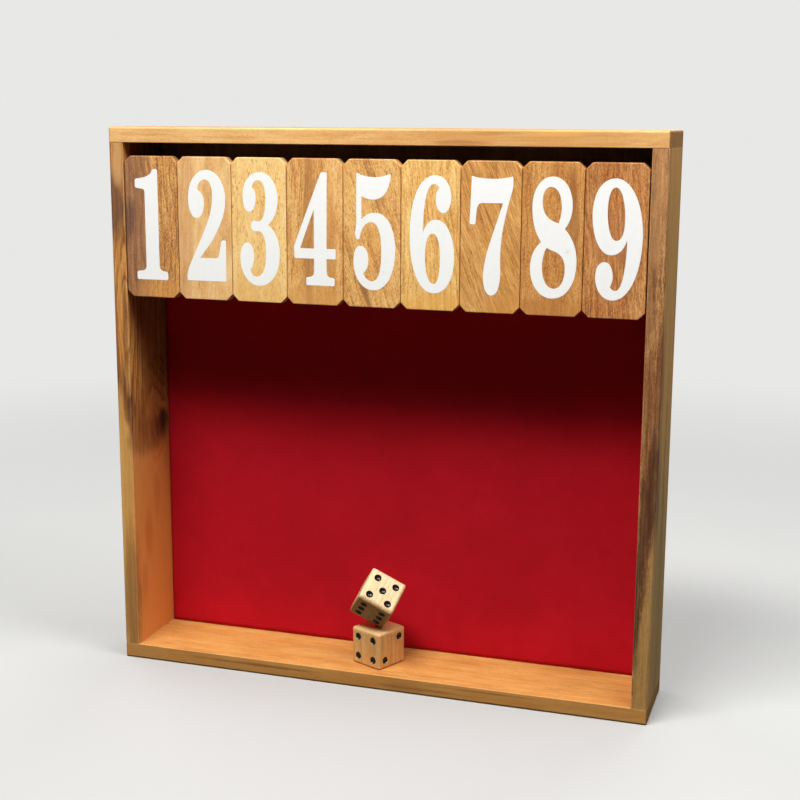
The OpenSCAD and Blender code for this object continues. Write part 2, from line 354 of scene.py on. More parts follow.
# A board's second axis runs from its front edge at -23.5 mm to its back edge at 23.5 mm.
# Patches are (place, radii, colour, strength).
BOARDS = {
    "top_board": dict(
        axes=ALONG_X, tones=((204, 146, 84), (234, 182, 116), (248, 208, 146)), seed=1, ring=6.0,
        heart=(60, 30), ringy=0.12, streaky=0.4, fine=0.45, flecky=0.6, pores=0.35, end=0.95,
        # crown is painted shade on the top face of the top board, which the lamps above light brightly
        end_shade=((0.2, 0.17, 0.12), (0.5, 0.45, 0.36)), painted_face_shade=(0.5, 0.47, 0.42),
        patches=[
            ((0, -21, 74), (10, 30, 74), (204, 143, 76), 0.7),
            ((2.4, -22, 92), (2, 20, 16), (240, 176, 98), 0.7),
            ((-2.5, -22, 46), (1.6, 20, 14), (180, 122, 64), 0.75),
            ((2.0, -22, 60), (1.2, 20, 10), (188, 130, 70), 0.6)]),
    "bottom_board": dict(
        axes=ALONG_X, tones=((176, 117, 58), (203, 144, 76), (220, 167, 96)), seed=2, ring=7.0,
        heart=(45, -30), ringy=0.12, streaky=0.35, fine=0.5, flecky=0.6, cloudy=0.6, pores=0.35, end=0.95,
        end_shade=((0.34, 0.3, 0.24), (0.66, 0.6, 0.5)),
        patches=[
            ((0, -25.5, 0), (8, 3.5, 400), (193, 133, 63), 0.6),
            ((2.6, -25, -52), (1.6, 3, 60), (218, 156, 82), 0.5),
            ((2.6, -25, 76), (1.8, 3, 48), (220, 158, 80), 0.55),
            ((-1.0, -25, 18), (2.4, 3, 16), (156, 104, 52), 0.5),
            ((0, -25, -132), (3.4, 3, 18), (196, 138, 80), 0.5),
            ((1, -25, -62), (1.1, 3, 42), (116, 72, 36), 0.7),
            ((-1, -25, 30), (0.9, 3, 34), (128, 80, 40), 0.6),
            ((2, -25, 62), (0.8, 3, 40), (126, 80, 40), 0.6)]),
    "left_board": dict(
        axes=ALONG_Z, tones=((118, 68, 34), (194, 130, 64), (230, 176, 102)), seed=3, ring=5.0,
        heart=(-30, 40), ringy=0.15, streaky=0.75, fine=0.5, flecky=0.5, pores=0.4, end=0.95,
        knots=[((4, 12, -17), (9, 18, 34), 26), ((2.5, -22, 40), (5, 14, 50), 13)],
        sap=dict(plane=((0.909, 0.227, 0.35), 7.5), waver=12.0, soft=2.0,
                 dark=((92, 54, 32), 0.8, 12.0), pale=((224, 166, 92), 0.85)),
        patches=[
            # painted light: the lower inner face made brighter and redder, standing in for lamp light and
            # light reflected off the red felt
            ((5.0, 4, -86), (6.0, 40, 92), (236, 153, 75), 0.82),
            # painted shadow of the tiles and top board on the upper inner face, over wood that is darker
            # there too
            ((4.5, 8, 60), (4, 30, 74), (100, 56, 32), 0.7),
            ((4.5, -4, -22), (5, 30, 11), (118, 68, 40), 0.62),
            ((4.5, 11, -18), (6, 10, 9), (66, 38, 26), 0.7),
            ((1.8, -24, -4), (2.2, 5, 9), (104, 62, 38), 0.6),
            ((-1, -24, 36), (5, 6, 24), (196, 120, 56), 0.5),
            ((4.5, 13, -16), (5, 6, 6), (38, 24, 20), 0.85),
            ((-2.4, -23.5, 104), (7, 6, 20), (102, 70, 56), 0.9),
            ((0.5, -24, 127), (3.6, 5, 13), (206, 160, 106), 0.85),
            ((2.2, -24, 40), (1.5, 6, 40), (112, 66, 34), 0.6),
            ((-3.2, -24, 34), (1.3, 6, 34), (128, 78, 40), 0.7),
            ((0, -24, 60), (1.2, 6, 26), (212, 150, 78), 0.7),
            ((-3.0, -24, -60), (1.6, 7, 50), (226, 174, 98), 0.7),
            ((1.4, -24, -110), (5.0, 7, 44), (156, 106, 56), 0.8),
            ((4.5, -8, -78), (3, 5, 16), (196, 110, 50), 0.55),
            ((4.5, 3, -58), (3, 4, 14), (206, 122, 58), 0.5),
            ((4.5, -14, -104), (3, 4, 12), (206, 124, 60), 0.5),
            ((-5.5, 8, 0), (3.4, 29, 400), (166, 114, 62), 0.72)]),
    "right_board": dict(
        axes=ALONG_Z, tones=((104, 64, 38), (176, 122, 72), (216, 166, 108)), seed=4, ring=5.5,
        heart=(35, -30), ringy=0.2, streaky=0.85, fine=1.0, flecky=1.0, pores=0.6, end=0.95,
        sap=dict(plane=((-1.0, -0.3, 0.108), 1.9), waver=1.8, soft=0.5, pale=((190, 144, 82), 0.9),
                 limits=(((-1.0, -0.3, 0), -10.25), ((-1.0, -0.3, 0), -2.0))),
        patches=[
            # painted shade with a greenish reflected tint: the lower half of the outer face darker and olive
            ((4.6, 2, -80), (1.6, 22, 80), (132, 118, 66), 0.5),
            ((-0.5, -23, 6), (6, 12, 38), (118, 66, 34), 0.62),
            ((-2.5, -23, 72), (3.4, 12, 34), (134, 86, 52), 0.6),
            ((2.4, -22, -24), (3.2, 14, 36), (78, 39, 21), 0.9),
            ((-0.6, -22, -46), (3.6, 14, 36), (86, 46, 25), 0.9),
            ((-3.6, -22, -80), (3.2, 14, 46), (60, 34, 17), 0.9),
            ((0, -22, 112), (5, 14, 34), (200, 146, 94), 0.5),
            ((3.4, -23, 30), (1.6, 10, 34), (112, 62, 36), 0.7),
            ((4.2, 4, -60), (1, 2.5, 110), (112, 82, 46), 0.7),
            ((4.2, -14, 20), (1, 2.0, 130), (128, 92, 54), 0.6)]),
    "tile_rail": dict(
        axes=ALONG_X, tones=((150, 104, 62), (196, 146, 94), (220, 174, 120)), seed=5, ring=4.0,
        heart=(40, 20), end=0.9),
}

for board, look in BOARDS.items():
    half = half_size(board, look["axes"])
    dress(board, wood(board + "_wood", middle(board), half=half, **look))

FOOT = ((0, -3, -33.5), (20, 8, 7))  # place and radii of a patch over the free end of a tile
TILES = {
    1: dict(tones=((134, 86, 54), (208, 148, 84), (244, 194, 118)), lean=0, ring=2.8, streaky=0.5,
            fine=0.88, flecky=1.17, ruddy=0.4, pores=0.6,
            patches=[((-10, -3, 2), (12, 8, 60), (134, 90, 70), 0.82),
                     ((-13, -3, 4), (4, 6, 12), (92, 64, 60), 0.8),
                     ((4, -3, -33.5), (16, 8, 7), (216, 145, 72), 0.6)]),
    2: dict(tones=((206, 148, 88), (238, 190, 126), (250, 214, 156)), lean=2, ring=5.0, ringy=0.12,
            streaky=0.3, fine=0.6, flecky=0.75, pores=0.3, cloudy=1.1, ruddy=0.5,
            patches=[((-11, -3, 0), (5, 8, 50), (206, 148, 98), 0.5)]),
    3: dict(tones=((220, 164, 92), (250, 207, 134), (255, 228, 166)), lean=0, ring=4.0, ringy=0.08,
            streaky=0.15, fine=0.44, flecky=0.78, cloudy=0.7, pores=0.75, pore_at=0.63, ruddy=0.3,
            patches=[((0, -3, -36), (18, 8, 20), (236, 182, 104), 0.6)]),
    4: dict(tones=((184, 122, 60), (234, 179, 108), (252, 210, 144)), lean=0, ring=4.0, ringy=0.15,
            pores=0.8, fine=0.66, flecky=1.04, cloudy=0.6, pore_at=0.63, ruddy=0.6,
            patches=[((-3, -3, 0), (3.4, 8, 70), (176, 118, 64), 0.8),
                     ((9, -3, -12), (3, 8, 36), (196, 132, 66), 0.7),
                     (*FOOT, (218, 155, 81), 0.7)]),
    5: dict(tones=((178, 118, 60), (232, 177, 104), (252, 208, 138)), lean=-18, ring=5.0, ringy=0.15,
            pores=0.7, fine=0.66, flecky=1.1, cloudy=0.6, pore_at=0.64, ruddy=0.5,
            patches=[((-12, -3, -24), (1.8, 8, 18), (132, 80, 40), 0.85),
                     ((8, -3, 22), (1.8, 8, 16), (160, 104, 54), 0.7)]),
    6: dict(tones=((194, 134, 62), (240, 187, 109), (255, 220, 146)), lean=-3, ring=2.6, ringy=0.2,
            streaky=0.5, fine=0.94, flecky=1.04, pores=0.5, ruddy=0.5,
            patches=[(*FOOT, (235, 174, 84), 0.7)]),
    7: dict(tones=((166, 104, 48), (214, 154, 83), (242, 190, 118)), lean=-22, ring=3.0, ringy=0.1,
            fine=1.15, flecky=0.65, cloudy=0.6, ruddy=0.4,
            patches=[(*FOOT, (213, 146, 71), 0.6)]),
    8: dict(tones=((156, 98, 46), (206, 143, 75), (232, 178, 108)), lean=0, ring=4.4, ringy=0.12,
            pores=0.8, fine=0.66, flecky=1.17, cloudy=0.6, pore_at=0.64, ruddy=0.5,
            patches=[((10, -3, 8), (3, 8, 26), (146, 90, 46), 0.6),
                     (*FOOT, (190, 122, 58), 0.7)]),
    9: dict(tones=((138, 82, 40), (194, 130, 72), (228, 168, 106)), lean=-4, ring=2.4, ringy=0.2,
            fine=1.1, flecky=1.04, cloudy=0.6, ruddy=0.7,
            patches=[((0, -3, 1), (16, 8, 15), (172, 106, 62), 0.5)]),
}
# darker, greyer tile ends: end grain, and painted shade on the top ends and chamfers, which the lamps above
# light brightly
TILE_END_GRAIN_AND_PAINTED_SHADE = ((0.4, 0.38, 0.36), (0.68, 0.66, 0.64))

for n, look in TILES.items():
    node = f"tile_{n}"
    axes = turned(look.pop("lean"))
    dress(node, wood(node + "_wood", middle(node), axes, seed=10 + n, heart=(60, 40), torn=0.35, end=0.8,
                     end_shade=TILE_END_GRAIN_AND_PAINTED_SHADE, **look))


# ---------------------------------------------------------------- dice

# As in the CAD, in millimetres: a pip is a ball's cap of this rim radius and depth.
DIE_EDGE = 20.0
PIP_ROW = 5.4
PIP_RIM = 2.0
PIP_DEPTH = 1.1
PIP_BALL = (PIP_RIM**2 + PIP_DEPTH**2) / (2 * PIP_DEPTH)
FACE_TURNS = ((0, 0, 0), (90, 0, 0), (0, 90, 0), (0, -90, 0), (-90, 0, 0), (180, 0, 0))


def scad_turn(x, y, z):
    """The turn that OpenSCAD makes of three angles in degrees."""
    return Euler((math.radians(x), math.radians(y), math.radians(z)), "XYZ").to_matrix()


upper_lo, upper_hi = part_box("die_upper")
UPPER_HEIGHT = (upper_lo.z + upper_hi.z) / 2 / MM
DICE = {
    "die_lower": (Vector((-2.4, -4.4, 18.2)), scad_turn(0, 0, 65.2)),
    "die_upper": (Vector((-2.1, -6.7, UPPER_HEIGHT)), scad_turn(-47.1, 28.3, 11.8) @ scad_turn(0, 0, 180)),
}

PIP_PAINT = 0.018   # how thick the paint in a pip is
PIP_SHORT = 0.03    # how far below a pip's rim its paint stops
PIP_WAVE = 0.012    # how unevenly it stops, as a share of its width
CAP_RINGS = 7
CAP_SIDES = 36


def pip_places(count):
    """Where a face's pips are, in rows and columns from its middle."""
    places = [(0, 0)] if count % 2 else []
    if count > 1:
        places += [(-1, -1), (1, 1)]
    if count > 3:
        places += [(-1, 1), (1, -1)]
    if count > 5:
        places += [(-1, 0), (1, 0)]
    return places


def link(name, mesh, body, material, smooth=True):
    """Puts a mesh into the scene as a piece that rides on a body."""
    if smooth:
        mesh.shade_smooth()
    mesh.materials.append(material)
    piece = bpy.data.objects.new(name, mesh)
    bpy.context.scene.collection.objects.link(piece)
    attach(piece, body)
    return piece


def paint_cap(phase):
    """One pip's paint, as points round the ball's middle, ring by ring from the deepest point out."""
    skin = PIP_BALL - PIP_PAINT
    widest = math.acos((PIP_BALL - PIP_DEPTH + PIP_SHORT) / skin)
    points = []
    for r in range(CAP_RINGS + 1):
        for s in range(CAP_SIDES if r else 1):
            a = 2 * math.pi * s / CAP_SIDES
            short = PIP_WAVE * (1 + math.sin(2 * a + phase)) if r == CAP_RINGS else 0.0
            t = widest * r / CAP_RINGS * (1 - short)
            points.append(skin * Vector((math.sin(t) * math.cos(a), math.sin(t) * math.sin(a), -math.cos(t))))
    return points


def cap_faces(start):
    """The faces between one cap's points, the first of which has the number start."""
    faces = []
    for s in range(CAP_SIDES):
        n = (s + 1) % CAP_SIDES
        faces.append((start, start + 1 + s, start + 1 + n))
        for r in range(1, CAP_RINGS):
            i = start + 1 + (r - 1) * CAP_SIDES
            j = i + CAP_SIDES
            faces.append((i + s, j + s, j + n, i + n))
    return faces


def pip_paint(name, body, at, turn, material, seed):
    """Black paint in every pip of a die: a skin in each hollow that stops a little short of its rim."""
    rnd = random.Random(seed)
    verts, faces = [], []
    top = DIE_EDGE / 2 - PIP_DEPTH + PIP_BALL
    for count in range(1, 7):
        face = scad_turn(*FACE_TURNS[count - 1])
        for px, py in pip_places(count):
            ball = Vector((px * PIP_ROW, py * PIP_ROW, top))
            faces += cap_faces(len(verts))
            verts += [(at + turn @ (face @ (ball + spot))) * MM for spot in paint_cap(rnd.uniform(0, 6.28))]
    mesh = bpy.data.meshes.new(name)
    mesh.from_pydata(verts, [], faces)
    mesh.update()
    link(name, mesh, body, material)


def black_paint():
    g = Graph("pip_black_paint")
    p = g.place()
    blot = g.noise(p, scale=1.6, detail=3)
    g.set(Base_Color=g.ramp(blot, [(0.3, rgb(14, 12, 12)), (0.75, rgb(34, 29, 27))]),
          Roughness=g.span(blot, 0.3, 0.7, 0.18, 0.34))
    g.bump(g.noise(p, scale=3.0, detail=2), 0.25, 0.05 * MM)
    return g.material


BLACK = black_paint()
DIE_TONES = {
    "die_lower": ((182, 124, 66), (220, 170, 104), (240, 200, 138)),
    "die_upper": ((200, 162, 108), (227, 203, 156), (241, 225, 184)),
}
# painted light on the lower die's top and a dark crack on one of its edges, and painted shade on the upper
# die's underside
DIE_CRACK_AND_PAINTED_LIGHT = {
    "die_lower": [((0, 0, 10.5), (60, 60, 2.6), (246, 208, 148), 0.75),
                  ((10, -7.4, 10), (0.9, 3.2, 0.7), (70, 40, 22), 0.9)],
    "die_upper": [((0, 0, -10.5), (60, 60, 3.0), (146, 106, 58), 0.9)],
}
for i, (die, (at, turn)) in enumerate(DICE.items()):
    axes = tuple(tuple(turn.col[k]) for k in range(3))
    dress(die, wood(die + "_wood", at * MM, axes, DIE_TONES[die], seed=31 + i, ring=2.6, heart=(30, 14),
                    wander=0.8, ringy=0.2, streaky=0.3, fine=0.35, flecky=0.2, cloudy=0.3, pores=0.5,
                    pore_at=0.68, half=(DIE_EDGE / 2,) * 3, wear=0.3, end=0.3, gloss=0.38,
                    patches=DIE_CRACK_AND_PAINTED_LIGHT[die]))
    pip_paint(die + "_pips", die, at, turn, BLACK, 5 + i)


# ---------------------------------------------------------------- numerals

# Outlines in millimetres from a tile's lower left corner: M starts a contour, L is a line, C a curve with its
# two handles, and Z closes the contour.
GLYPHS = {
    1: "M19.1 65.6 L19.1 17 C19.1 15.2 19.8 14.4 21.3 14 L23 13.6 C23.7 13.5 24 13 24 12.4 L24 10.4"
       " C24 9.7 23.6 9.3 23 9.3 L7 9.3 C6.4 9.3 6 9.7 6 10.3 L6 12.4 C6 13.1 6.3 13.6 7 13.7 L9.4 14"
       " C10.9 14.3 11.5 15.2 11.5 17 L11.5 54 C11.5 55.8 11.2 56.3 9.6 56.5 L7 56.9"
       " C6.3 57 6 57.4 6 58 L6 60.4 C6 61.2 6.4 61.6 7.2 61.7 C10.8 62.1 14.6 63 15.9 65.6"
       " C16.3 66.4 16.8 66.7 17.6 66.7 L18.2 66.7 C18.8 66.7 19.1 66.3 19.1 65.6 Z",
    2: "M16.2 66.7 C21.9 66.7 26.4 60.2 26.4 52 C26.4 44 23.2 38.4 19.3 31.6"
       " C16.6 27.4 14.2 25 11.8 21.7 L20.4 21.7 C22 21.7 22.3 22.6 22.7 24.6 L23.7 29.8"
       " C23.9 30.8 24.3 31.1 25 31.1 L25.6 31.1 C26.2 31.1 26.5 30.7 26.5 30 L26.2 9.8 L4.9 9.8"
       " C4.4 9.8 4.2 10.1 4.2 10.7 C4.2 14.8 5.6 17.4 7.2 20.8 L13.4 33.6"
       " C16.8 41 19.1 46.8 19.1 53.4 C19.1 58.6 17.8 61.8 15.2 61.8 C12.8 61.8 10.9 59.4 10.9 57.2"
       " C10.9 56.5 11.2 56.2 11.7 55.9 C13.4 54.8 14.4 52.8 14.4 50 C14.4 45.6 12.8 42.1 10 42.1"
       " C7.4 42.1 5.5 46.2 5.5 52 C5.5 60.4 9.8 66.7 16.2 66.7 Z",
    3: "M15.2 66 C21 66 25.1 60.2 25.1 52.4 C25.1 46.6 23 42.6 19.8 39.6 C23.6 36.8 26 31.8 26 25.2"
       " C26 15.4 21.4 8.5 14.6 8.5 C8.6 8.5 4.2 14.6 4.2 22.4 C4.2 27.2 5.7 30.4 8.2 30.4"
       " C10.6 30.4 11.8 27.4 11.8 23.4 C11.8 20.6 11.2 18.6 10.2 17.2 C9.8 16.6 9.8 16.2 10 15.6"
       " C10.6 14 11.8 13.1 13.2 13.1 C16.8 13.1 18.5 18.4 18.5 25.4 C18.5 32.4 17.2 36.4 14.4 36.4"
       " L12.4 36.3 C11.2 36.2 10.4 37.4 10.4 39 C10.4 40.8 11.2 41.8 12.4 41.7 L14.6 41.3"
       " C17 41.2 18.5 46.4 18.5 52.8 C18.5 58.6 17 62 14.6 62 C13 62 11.9 61 11.4 59.4"
       " C11.2 58.8 11.3 58.4 11.7 57.9 C12.6 56.8 13.1 55.2 13.1 53.2 C13.1 49 11.8 46 9.4 46"
       " C7.2 46 6 49.4 6 54 C6 60.6 9.6 66 15.2 66 Z",
    4: "M19.2 66.5 L20.8 66.5 C21.3 66.5 21.5 66.2 21.5 65.7 L21.2 28.5 L25.4 28.5"
       " C25.9 28.5 26.1 28.2 26.1 27.7 L26.1 24.2 C26.1 23.7 25.9 23.4 25.4 23.4 L21.2 23.4"
       " L21.2 17.4 C21.2 15.4 21.9 14.3 23.6 14.1 L24.8 13.9 C25.3 13.8 25.5 13.5 25.5 13 L25.5 10.7"
       " C25.5 10.1 25.2 9.9 24.7 9.9 L11 9.9 C10.4 9.9 10.2 10.2 10.2 10.7 L10.2 13.2"
       " C10.2 13.7 10.4 13.9 10.9 14 L12.2 14.2 C13.8 14.5 14.5 15.4 14.5 17.4 L14.5 23.4 L4.5 23.4"
       " C4 23.4 3.8 23.7 3.8 24.2 L3.7 28.6 C3.7 29.4 3.8 30 4.1 30.7 L17.9 65.5"
       " C18.2 66.2 18.5 66.5 19.2 66.5 Z"
       " M14.5 48.2 L14.5 28.5 L6.9 28.5 Z",
    5: "M6.7 66.4 C9.2 65.1 12.2 64.6 15.4 64.6 C18.4 64.6 20.6 65.1 22.8 66"
       " C23.6 66.3 24 66 23.9 65.2 C23.3 58.6 20.4 53.6 14.8 53.6 C12.4 53.6 10.6 54.2 9 55.1"
       " C8.8 55.2 8.6 55.1 8.6 54.8 L8.7 43.9 C10.7 46.1 13.2 47.2 16 47.2"
       " C22.2 47.2 26.4 39.4 26.4 29 C26.4 17.6 22 8.7 14.9 8.7 C8.6 8.7 4.4 15.4 4.4 22.6"
       " C4.4 27.4 5.7 30.7 8.2 30.7 C10.7 30.7 12.3 27.6 12.3 23.4 C12.3 20.6 11.5 18.8 10.2 17.6"
       " C9.8 17.3 9.7 17 9.9 16.5 C10.8 14.4 12.3 13.2 14.2 13.2 C17.6 13.2 19.1 18.8 19.1 28"
       " C19.1 36.6 17.5 42.5 13.8 42.5 C10.9 42.5 8.8 39.6 8 35.6 C7.8 34.4 7.4 33.8 6.7 33.8"
       " C5.8 33.8 5.3 35.6 5.4 38 C5.5 39.6 6 40.6 6 42.4 L6 65.9 C6 66.5 6.3 66.6 6.7 66.4 Z",
    6: "M16.6 66 C21.6 66 24.8 61.6 24.8 55.4 C24.8 51.2 23.2 47.9 20.8 47.9"
       " C18.5 47.9 17 51 17 54.8 C17 57.2 17.6 58.6 18.4 59.4 C18.7 59.8 18.7 60.1 18.4 60.5"
       " C17.8 61.4 17 61.8 16.1 61.8 C12.4 61.8 10.6 51.4 10.5 37.7 C11.9 42.4 14.2 44.6 17.2 44.6"
       " C22.8 44.6 26.6 36.4 26.6 26.4 C26.6 15.8 22.8 8.5 16.2 8.5 C8.8 8.5 3.8 19.6 3.8 37"
       " C3.8 55.2 9.2 66 16.6 66 Z"
       " M15.6 37.8 C18 37.8 19.4 33 19.4 25.8 C19.4 18.2 18.4 13.2 16.1 13.2"
       " C13.6 13.2 11.8 18.4 11.8 26.6 C11.8 33.6 13.2 37.8 15.6 37.8 Z",
    7: "M5.2 66 C8 65 11.4 64.8 14.8 64.8 C18.4 64.8 21.4 65.1 24.2 65.9"
       " C24.9 66.1 25.2 65.8 25.2 65.2 L25.2 61.8 C25.2 60.4 24.8 59.2 24.4 57.8"
       " C22.4 50.4 19.4 39.6 19.4 27 C19.4 23.4 19.7 20.4 19.5 17.2 C19.2 12.2 17.8 8.7 15.1 8.7"
       " C12.4 8.7 11 12.6 11 17.6 C11 27.4 15.4 37.6 20.3 53.3 L10.2 53.2 C8.2 53.1 7.5 52 7.3 49"
       " L6.9 44 C6.8 43.2 6.6 42.9 5.9 42.9 L4.8 42.9 C4.1 42.9 3.9 43.3 3.9 44 L4.7 65.4"
       " C4.7 66 4.9 66.1 5.2 66 Z",
    8: "M14.4 66.4 C19.8 66.4 23.9 60.6 23.9 52.8 C23.9 48 22.6 44.6 20.4 41.9"
       " C24 38.2 26.5 33 26.5 26 C26.5 15.8 21.8 8.5 14.8 8.5 C8.6 8.5 4 14.8 4 23"
       " C4 28.4 5.9 32.6 9.1 35.4 C6.4 39.2 4.5 44.6 4.5 52.2 C4.5 60.6 8.8 66.4 14.4 66.4 Z"
       " M13.4 61.5 C16.8 61.5 18.7 57.2 18.7 52 C18.7 49 18.2 46.6 17.4 44.5"
       " C12.6 45.4 9.4 49 9.4 54.6 C9.4 58.8 11 61.5 13.4 61.5 Z"
       " M12 32.8 C13.4 31.6 15.4 31.4 17.2 30.4 C19.6 29 20.9 26.2 20.9 22.6"
       " C20.9 17 18.8 13.3 15.6 13.3 C12 13.3 9.8 17.8 9.8 23.8 C9.8 27.4 10.6 30.6 12 32.8 Z",
    9: "M13.4 66 C20.8 66 26.7 54.6 26.7 38.6 C26.7 20.6 20.6 8.8 13.2 8.8 C8.4 8.8 4.9 13.6 4.9 20"
       " C4.9 24.2 6.6 26.9 9.2 26.9 C11.6 26.9 13.2 23.8 13.2 19.8 C13.2 18 12.9 16.8 12.3 15.8"
       " C12 15.3 12.1 15 12.4 14.6 C13 13.8 13.8 13.4 14.6 13.4 C17.8 13.4 19.5 24.4 19.5 37.4"
       " C18.1 32.8 15.6 30.2 12 30.2 C6.4 30.2 2.8 39 2.8 49.4 C2.8 59.2 7 66 13.4 66 Z"
       " M13.6 61.8 C11.2 61.8 9.9 57.6 9.9 51.4 C9.9 43.2 11.6 37 14.4 37"
       " C16.8 37 18.2 40.8 18.2 46.4 C18.2 54.8 16.2 61.8 13.6 61.8 Z",
}

# how far each figure is moved to the right of its outline, in millimetres
NUDGE = {1: -0.2, 2: 0.4, 3: 0.3, 4: 0.2, 5: 1.0, 6: 0.7, 7: 0.7, 8: 0.6, 9: 1.0}
PAINT_PROUD = 0.05  # how far the white paint stands out of the wood, in millimetres
PAINT_EDGE = 0.02   # radius of the paint's edge, in millimetres
CURVE_STEPS = 14    # points along each curve of an outline
SAME_POINT = 1e-6   # a contour whose ends are nearer than this is already closed


def thirds(a, b):
    """The two handles of a straight stretch from a to b."""
    out = tuple(p + (q - p) / 3 for p, q in zip(a, b))
    back = tuple(q - (q - p) / 3 for p, q in zip(a, b))
    return out, back


def knots(outline):
    """Each contour of an outline as a list of (left handle, knot, right handle)."""
    contours, points, words = [], [], outline.split()
    i = 0
    while i < len(words):
        word = words[i]
        kind, rest = word[0], word[1:]
        numbers = {"M": 2, "L": 2, "C": 6, "Z": 0}[kind]
        values = [float(x) for x in ([rest] if rest else []) + words[i + 1 : i + numbers]]
        i += max(numbers, 1)
        if kind == "M":
            points = [[None, tuple(values), None]]
        elif kind == "L":
            points[-1][2], back = thirds(points[-1][1], tuple(values))
            points.append([back, tuple(values), None])
        elif kind == "C":
            points[-1][2] = tuple(values[0:2])
            points.append([tuple(values[2:4]), tuple(values[4:6]), None])
        else:
            first, last = points[0], points[-1]
            if math.dist(first[1], last[1]) < SAME_POINT:
                first[0] = last[0]
                points.pop()
            else:
                last[2], first[0] = thirds(last[1], first[1])
            contours.append(points)
    return contours


def numeral(n, material):
    """The painted figure on tile n, as a thin film with softened edges that follows its tile."""
    curve = bpy.data.curves.new(f"numeral_{n}_outline", "CURVE")
    curve.dimensions = "2D"
    curve.fill_mode = "BOTH"
    curve.resolution_u = CURVE_STEPS
    curve.extrude = PAINT_PROUD - PAINT_EDGE
    curve.bevel_depth = PAINT_EDGE
    curve.bevel_resolution = 1
    curve.offset = -PAINT_EDGE
    for contour in knots(GLYPHS[n]):
        spline = curve.splines.new("BEZIER")
        spline.bezier_points.add(len(contour) - 1)
        spline.use_cyclic_u = True
        for point, (left, knot, right) in zip(spline.bezier_points, contour):
            point.co = (*knot, 0)
            point.handle_left_type = point.handle_right_type = "FREE"
            point.handle_left = (*left, 0)
            point.handle_right = (*right, 0)
    shaped = bpy.data.objects.new("outline", curve)
    bpy.context.scene.collection.objects.link(shaped)
    bpy.context.view_layer.update()
    mesh = bpy.data.meshes.new_from_object(shaped.evaluated_get(bpy.context.evaluated_depsgraph_get()))
    bpy.data.objects.remove(shaped)
    bpy.data.curves.remove(curve)
    lo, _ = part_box(f"tile_{n}")
    upright = Matrix.Rotation(math.pi / 2, 4, "X") @ Matrix.Diagonal((MM, MM, MM, 1))
    mesh.transform(Matrix.Translation((lo.x + NUDGE[n] * MM, lo.y, lo.z)) @ upright)
    mesh.name = f"numeral_{n}"
    mesh.materials.clear()
    link(f"numeral_{n}", mesh, f"tile_{n}", material, smooth=False)


def white_paint(name, corner, specks=()):
    """White paint with small worn specks where the wood shows: specks are (x, z, radius) on the tile."""
    g = Graph(name)
    p = g.place(corner)
    soft = g.noise(p, scale=0.35, detail=3)
    grain = g.noise(p, (3.0, 3.0, 0.25), detail=2)
    colour = g.ramp(soft, [(0.3, rgb(249, 248, 245)), (0.7, rgb(251, 250, 248))])
    height = g.math("ADD", g.product(grain, 0.6), g.product(soft, 0.4))
    for x, z, radius in specks:
        flat = g.vector("MULTIPLY", p, (1, 0, 1))
        near = g.math("DIVIDE", g.vector("DISTANCE", flat, (x, 0, z)), radius)
        worn = g.math("MULTIPLY_ADD", near, -0.16, g.noise(p, scale=1.9, detail=3, rough=0.7))
        colour = g.mix(g.span(worn, 0.5, 0.54), colour, rgb(214, 190, 158))
    g.set(Base_Color=colour, Roughness=g.span(soft, 0.3, 0.7, 0.5, 0.6))
    g.bump(height, 0.06, 0.05 * MM)
    return g.material


SPECKS = {
    5: ((6.0, 18.5, 1.6), (21.4, 17.5, 1.8)),
    8: ((22.8, 31.0, 2.6),),
}
for n in TILES:
    numeral(n, white_paint(f"numeral_{n}_paint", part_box(f"tile_{n}")[0], SPECKS.get(n, ())))


# ---------------------------------------------------------------- felt

# Lengths are in millimetres.
FELT_CELL = 2.0            # distance between the sheet's points
FELT_LUMP = 0.10           # how much its thickness varies
FELT_ROUND = (0.45, 0.12)  # how much thinner it is at its edge, and one point further in
FELT_TRIM = 0.12           # how far its cut edge wanders inwards, on average
LUMPS_PER_METRE = 90
TRIMS_PER_METRE = 60


def felt_points(lo, hi, nx, nz, shows):
    """The points of one face of the sheet, row by row: the face that shows, or the one on the panel."""
    points = []
    for j in range(nz + 1):
        for i in range(nx + 1):
            x = lo.x + (hi.x - lo.x) * i / nx
            y = hi.y
            z = lo.z + (hi.z - lo.z) * j / nz
            edge = min(i, j, nx - i, nz - j)
            if shows:
                spot = Vector((x * LUMPS_PER_METRE, 0, z * LUMPS_PER_METRE))
                lump = FELT_LUMP * (0.5 + 0.5 * noise.fractal(spot, 1.0, 2.0, 3))
                y = lo.y + (lump + (FELT_ROUND[edge] if edge < 2 else 0.0)) * MM
            if edge == 0:
                spot = Vector((x * TRIMS_PER_METRE, 7, z * TRIMS_PER_METRE))
                trim = FELT_TRIM * MM * (1 + noise.noise(spot))
                x += trim if i == 0 else -trim if i == nx else 0
                z += trim if j == 0 else -trim if j == nz else 0
            points.append((x, y, z))
    return points


def felt_faces(nx, nz):
    """Both faces of the sheet, and the strip round its edge."""
    row, layer = nx + 1, (nx + 1) * (nz + 1)
    faces = []
    for j in range(nz):
        for i in range(nx):
            a = j * row + i
            faces.append((a, a + 1, a + row + 1, a + row))
            faces.append((a + layer, a + row + layer, a + row + 1 + layer, a + 1 + layer))
    rim = ([(i, 0) for i in range(nx)] + [(nx, j) for j in range(nz)]
           + [(i, nz) for i in range(nx, 0, -1)] + [(0, j) for j in range(nz, 0, -1)])
    for (i, j), (k, m) in zip(rim, rim[1:] + rim[:1]):
        a, b = j * row + i, m * row + k
        faces.append((b, a, a + layer, b + layer))
    return faces


